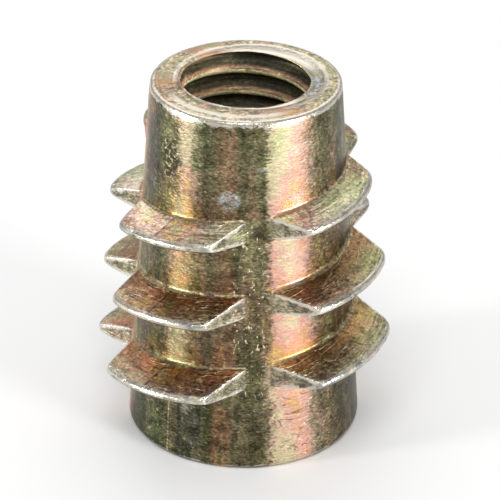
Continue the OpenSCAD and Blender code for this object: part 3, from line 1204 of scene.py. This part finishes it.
def mouth_masks(at):
    """Where painted highlights lie on the end face around the bore's mouth, and where it is left grey."""
    patchy = at.noise(1.3, 4.0, 0.65)
    back = at.facing(*BACK_SHINE_SECTOR) * smooth(at.dish, 0.02, 0.15) * smooth(patchy, 0.22, 0.36)
    side = at.facing(*RIGHT_GREY_SECTOR) * smooth(at.dish, 0.0, 0.4) * smooth(patchy, 0.42, 0.55)
    left = at.facing(*LEFT_GREY_SECTOR) * smooth(at.dish, 0.2, 0.6)
    across = (at.radius - BORE_RADIUS) / RIM_WIDTH
    band = smooth(size_of(across - RIM_HIGHLIGHT_BAND), 0.16, 0.05) * smooth(patchy, 0.3, 0.46)
    band = band * at.facing(*FRONT_BAND_SECTOR)
    lip = smooth(at.dish, 0.45, 0.65) * smooth(patchy, 0.26, 0.4) * at.facing(*FRONT_LIP_SECTOR)
    greyed = most(side * GREY_SIDE_COVER, left * GREY_LEFT_COVER)
    return most(back, most(band, lip * LIP_STRENGTH)) * at.up, greyed * at.up


def squiggles(at):
    """Thin crooked flow lines that run round the axis, in scattered patches."""
    field = noise(at.wound(SQUIGGLE_CIRCLE, (at.radius + at.z) * 2.2), 1.3, detail=2.0, roughness=0.55)
    return smooth(size_of(field - 0.5), 0.02, 0.006) * at.patches(*LINE_PATCHES)


def creases(at):
    """Fine crooked folds in the casting's skin."""
    field = at.noise(0.7, 2.0, 0.6, shift=(4.0, 8.0, 15.0), stretch=(1.0, 1.0, 2.6))
    return smooth(size_of(field - 0.5), 0.022, 0.006) * at.patches(*CREASE_PATCHES)


def spot(at, direction, height, width, tall):
    """A ragged oval spot on the barrel."""
    aside = at.aside(direction) / width
    over = (at.z - height) / tall
    ragged = (at.noise(1.6, 3.0, 0.65) - 0.5) * 1.8
    inside = smooth(aside * aside + over * over + ragged, 1.3, 0.4)
    return inside * smooth(at.toward(direction), 0.5, 0.8)


def marked(at, colour, streak_and_highlight):
    """The colour with the casting's marks and painted shade on faces that look down, and the marks' height
    in millimetres.
    """
    gold = at.patches(*GOLD_PATCHES)
    pits = spot(at, *BLEMISH) * at.barrel
    ragged = at.noise(5.5, 2.0, 0.5)
    colour = blended(pits * smooth(ragged, 0.52, 0.42) * PIT_COVER, colour, PIT_DARK)
    colour = blended(pits * smooth(ragged, 0.58, 0.66) * PIT_COVER, colour, GOLD_SPECK)
    dark = (1.0 - streak_and_highlight) * at.barrel
    colour = blended(gold * (at.notch_floor + dark * 0.1) * GOLD_COVER, colour, GOLD_SPECK)
    lines = squiggles(at)
    colour = blended(lines * at.flank * LINE_COVER, colour, GOLD_SPECK)
    creased = creases(at) * at.foot * streak_and_highlight
    colour = scaled(colour, 1.0 - creased * CREASE_SHADE)
    bruise = at.patches(*BRUISE_PATCHES)
    # random dark bruises, and painted shade on faces that look down
    bruise_and_shade = most(bruise * BRUISE_COVER, at.overhang * OVERHANG_SHADE_COVER) * at.face
    colour = blended(bruise_and_shade, colour, BLUE_BLACK)
    parting = smooth(size_of(at.aside(PARTING_DIRECTION)), *PARTING_EDGE) * smooth(at.radius, *BARREL_REACH)
    colour = scaled(colour, 1.0 + parting * (at.foot * PARTING_GAIN - at.flank * PARTING_SHADE))
    bent = at.wound(RIPPLE_CIRCLE, at.radius * 2.6)
    ripple = (noise(bent, 1.0, detail=3.0, roughness=0.6) - 0.5) * at.flank
    colour = scaled(colour, 1.0 + ripple * RIPPLE_GAIN)
    height = lines * at.flank * LINE_RELIEF + parting * (at.foot + at.flank) * PARTING_RELIEF
    height = height + ripple * RIPPLE_RELIEF - creased * CREASE_RELIEF
    height = height + gold * at.notch_floor * SPECK_RELIEF + pits * (ragged - 0.6) * PIT_RELIEF
    return colour, height


def new_material(name):
    """A new material with its tree and its shader."""
    material = bpy.data.materials.new(name)
    material.use_nodes = True
    return material, material.node_tree, material.node_tree.nodes["Principled BSDF"]


def zinc_material(colours):
    """Cast zinc with a yellow, faintly iridescent passivation."""
    material, tree, shader = new_material(SLOT)
    at = Place(tree)
    grain = placed(grain_group(), Place=at.vector)
    streak_and_highlight, thicker = streak_and_highlight_masks(at)
    colour = filmed(at, ground_colour(at, colours, streak_and_highlight), streak_and_highlight, thicker)
    # the second value marks where the thread's crests carry their painted highlight
    bore, bright = bore_colour(at, colours)
    colour = blended(at.bore, colour, bore)
    mouth_highlight, greyed = mouth_masks(at)
    colour = blended(greyed, colour, BLUE_GREY)
    calm = 1.0 - streak_and_highlight * STREAK_AND_HIGHLIGHT_CALM - at.flank * FLANK_CALM
    colour = scaled(colour, 1.0 + (grain["Tone"] - 1.0) * calm)
    # painted highlights around the bore's mouth
    colour = blended(mouth_highlight * MOUTH_HIGHLIGHT_COVER, colour, colours.mouth_highlight)
    colour, marks = marked(at, colour, streak_and_highlight)
    colour = blended(grain["Specks"] * (1.0 - at.bore) * SPARK_COVER, colour, SPARK)
    # painted highlight: the rim's bright edge is wider at the front
    rim_width = at.facing(*FRONT_HIGHLIGHT_SECTOR) * FRONT_HIGHLIGHT_WIDTH + RIM_WEAR_AND_HIGHLIGHT_WIDTH
    wear_and_highlight_width = smooth(at.z, *RIM_EDGE_BAND) * rim_width + at.face * FACE_WEAR_AND_HIGHLIGHT_WIDTH + WEAR_AND_HIGHLIGHT_WIDTH
    # bright edges: partly rubbed metal and partly painted highlights
    wear_and_highlight = placed(wear_and_highlight_group(), Place=at.vector, Distance=at.edge, Width=wear_and_highlight_width)["Mask"]
    # painted shade: no bright edge on faces that look down
    wear_and_highlight = wear_and_highlight * smooth(at.crease, 0.08, 0.35) * (1.0 - at.bore) * (1.0 - at.overhang)
    dull = at.patches(*DULL_PATCHES) * smooth(at.rise, 0.5, 0.9)
    colour = blended(wear_and_highlight * WEAR_AND_HIGHLIGHT_COVER, colour, blended(dull * DULL_COVER, colours.worn_and_highlit, BLUE_GREY))
    rings = noise(point(at.radius * 3.0, 0.0, 0.0), 1.0, detail=3.0, roughness=0.7) - 0.5
    colour = scaled(colour, 1.0 + rings * at.rim * RING_GAIN)
    roughness = ROUGHNESS - wear_and_highlight * WORN_GLOSS + (grain["Tone"] - 1.0) * GRAIN_ROUGHNESS
    height = grain["Height"] * (1.0 - streak_and_highlight * STREAK_AND_HIGHLIGHT_SMOOTHNESS) * GRAIN_RELIEF + marks
    bump = {"Height": height * MM, "Strength": 1.0, "Distance": 1.0}
    put(colour, shader.inputs["Base Color"])
    put(roughness + at.bore * BORE_ROUGHNESS, shader.inputs["Roughness"])
    put(1.0 - at.bore * (BORE_DULLNESS + bright * (1.0 - BORE_DULLNESS)), shader.inputs["Metallic"])
    put(first_output(tree, "ShaderNodeBump", bump), shader.inputs["Normal"])
    return material


# ---------------------------------------------------------------------------
# Stage
# ---------------------------------------------------------------------------

# Where the camera stands and what it sees: angles in degrees, its lens in millimetres
CAMERA_DISTANCE = 160.5 * MM
CAMERA_ELEVATION = 32.34
CAMERA_BEARING = -0.28
CAMERA_ROLL = 0.53
CAMERA_LENS = 209.4
CAMERA_CLIP = (0.01, 10)
AIM = Vector((0.283 * MM, 0, 9.88 * MM))

# Softboxes: bearing and elevation in degrees, distance, width and height in metres, and watts
LAMPS = {
    "right strip": (52, 8, 0.5, 0.12, 0.12, 1.75),
    "left strip": (-74, 8, 0.5, 0.08, 0.12, 1.6),
    "back soft light": (180, 46, 0.6, 0.6, 0.4, 0.9),
    "front soft light": (-8, 60, 0.7, 0.34, 0.2, 1.5),
}
WHITE = (1, 1, 1, 1)
WORLD_STRENGTH = 0.5

FLOOR_REACH = 1.5
FLOOR_ROUGHNESS = 0.8
FLOOR_COLOUR = (0.85, 0.85, 0.85, 1)
FLOOR_SEEN = (0.95, 0.95, 0.95, 1)  # the floor's colour where it is looked at or mirrored


def outlook(bearing_degrees, elevation_degrees):
    """The unit vector at a bearing from the front and an elevation."""
    turn = math.radians(bearing_degrees)
    elevation = math.radians(elevation_degrees)
    flat = math.cos(elevation)
    return Vector((math.sin(turn) * flat, -math.cos(turn) * flat, math.sin(elevation)))


def aimed(place, back, roll_degrees=0.0):
    """The matrix of something at a place that looks against the direction back, rolled a little."""
    roll = math.radians(roll_degrees)
    right = Vector((0, 0, 1)).cross(back).normalized()
    up = back.cross(right)
    rolled_right = right * math.cos(roll) + up * math.sin(roll)
    rolled_up = up * math.cos(roll) - right * math.sin(roll)
    turn = Matrix((rolled_right, rolled_up, back)).transposed()
    return Matrix.Translation(place) @ turn.to_4x4()


def new_object(name, data):
    """A new object in the scene."""
    result = bpy.data.objects.new(name, data)
    bpy.context.scene.collection.objects.link(result)
    return result


def make_camera():
    """The camera, as the scene's own."""
    camera = bpy.data.cameras.new("camera")
    camera.lens = CAMERA_LENS
    camera.clip_start, camera.clip_end = CAMERA_CLIP
    holder = new_object("camera", camera)
    place = outlook(CAMERA_BEARING, CAMERA_ELEVATION) * CAMERA_DISTANCE
    holder.matrix_world = aimed(place, (place - AIM).normalized(), CAMERA_ROLL)
    bpy.context.scene.camera = holder


def make_lamp(name, bearing_degrees, elevation_degrees, distance, width, height, watts):
    """A rectangular softbox that faces the insert."""
    lamp = bpy.data.lights.new(name, "AREA")
    lamp.shape = "RECTANGLE"
    lamp.size = width
    lamp.size_y = height
    lamp.energy = watts
    back = outlook(bearing_degrees, elevation_degrees)
    new_object(name, lamp).matrix_world = aimed(back * distance + AIM, back)


def make_floor():
    """The plain floor, which looks a little paler than the light that it throws back."""
    mesh = bpy.data.meshes.new("floor")
    corners = [(-1, -1), (1, -1), (1, 1), (-1, 1)]
    mesh.from_pydata([(x * FLOOR_REACH, y * FLOOR_REACH, 0) for x, y in corners], [], [(0, 1, 2, 3)])
    material, tree, shader = new_material("floor")
    path = new_node(tree, "ShaderNodeLightPath")
    seen = most(Field(tree, path.outputs["Is Camera Ray"]), Field(tree, path.outputs["Is Glossy Ray"]))
    put(blended(seen, FLOOR_COLOUR, FLOOR_SEEN), shader.inputs["Base Color"])
    put(FLOOR_ROUGHNESS, shader.inputs["Roughness"])
    mesh.materials.append(material)
    floor = new_object("floor", mesh)


def make_world():
    """Even white light from all round."""
    world = bpy.data.worlds.new("soft light")
    world.use_nodes = True
    background = world.node_tree.nodes["Background"]
    put(WHITE, background.inputs["Color"])
    put(WORLD_STRENGTH, background.inputs["Strength"])
    bpy.context.scene.world = world


# ---------------------------------------------------------------------------
# The add-on
# ---------------------------------------------------------------------------


def plain_mesh(name, group, sizes):
    """The mesh that a tree makes, as an object of its own with no modifier left on it."""
    holder = new_object(name + "_tree", bpy.data.meshes.new(name + "_tree"))
    modifier = holder.modifiers.new(group.name, "NODES")
    modifier.node_group = group
    inputs = [item for item in group.interface.items_tree if item.in_out == "INPUT"]
    for setting, item in zip(InsertSizes.__annotations__, inputs):
        modifier[item.identifier] = getattr(sizes, setting)
    graph = bpy.context.evaluated_depsgraph_get()
    shaped = holder.evaluated_get(graph)
    mesh = bpy.data.meshes.new_from_object(shaped, preserve_all_data_layers=True, depsgraph=graph)
    bpy.data.objects.remove(holder)
    mesh.name = name
    return new_object(name, mesh)


class INSERT_OT_body(bpy.types.Operator):
    """Builds the insert from its sizes"""

    bl_idname = "insert.body"
    bl_label = "Build Insert"

    def execute(self, context):
        """Makes the insert's mesh and gives it to its body."""
        sizes = context.scene.insert_sizes
        group = insert_tree(sizes, zinc_material(context.scene.insert_colours))
        body = plain_mesh("insert", group, sizes)
        if not body.data.polygons:
            raise RuntimeError("the insert came out empty")
        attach(body, BODY)
        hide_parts(CAD_NODE)
        return {"FINISHED"}


class INSERT_OT_stage(bpy.types.Operator):
    """Sets up the floor, the soft light and the camera"""

    bl_idname = "insert.stage"
    bl_label = "Set Up Stage"

    def execute(self, context):
        """Makes the floor, the lights and the camera."""
        make_floor()
        make_world()
        for name, settings in LAMPS.items():
            make_lamp(name, *settings)
        make_camera()
        context.scene.view_settings.view_transform = "Standard"
        return {"FINISHED"}


class INSERT_PT_panel(bpy.types.Panel):
    """The insert's sizes and colours, and its steps"""

    bl_idname = "INSERT_PT_panel"
    bl_label = "Threaded Insert"
    bl_space_type = "VIEW_3D"
    bl_region_type = "UI"
    bl_category = "Insert"

    def draw(self, context):
        """Lists the sizes, the colours and the steps."""
        layout = self.layout
        for name in InsertSizes.__annotations__:
            layout.prop(context.scene.insert_sizes, name)
        for name in InsertColours.__annotations__:
            layout.prop(context.scene.insert_colours, name)
        layout.operator(INSERT_OT_body.bl_idname)
        layout.operator(INSERT_OT_stage.bl_idname)


CLASSES = (InsertSizes, InsertColours, INSERT_OT_body, INSERT_OT_stage, INSERT_PT_panel)


def register():
    """Makes the classes and the scene's settings known to Blender."""
    for cls in CLASSES:
        bpy.utils.register_class(cls)
    bpy.types.Scene.insert_sizes = PointerProperty(type=InsertSizes)
    bpy.types.Scene.insert_colours = PointerProperty(type=InsertColours)


def unregister():
    """Takes the settings and the classes away again."""
    del bpy.types.Scene.insert_sizes
    del bpy.types.Scene.insert_colours
    for cls in reversed(CLASSES):
        bpy.utils.unregister_class(cls)


def main():
    """Builds the insert and its stage."""
    register()
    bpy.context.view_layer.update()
    bpy.ops.insert.body()
    bpy.ops.insert.stage()


if __name__ == "__main__":
    main()
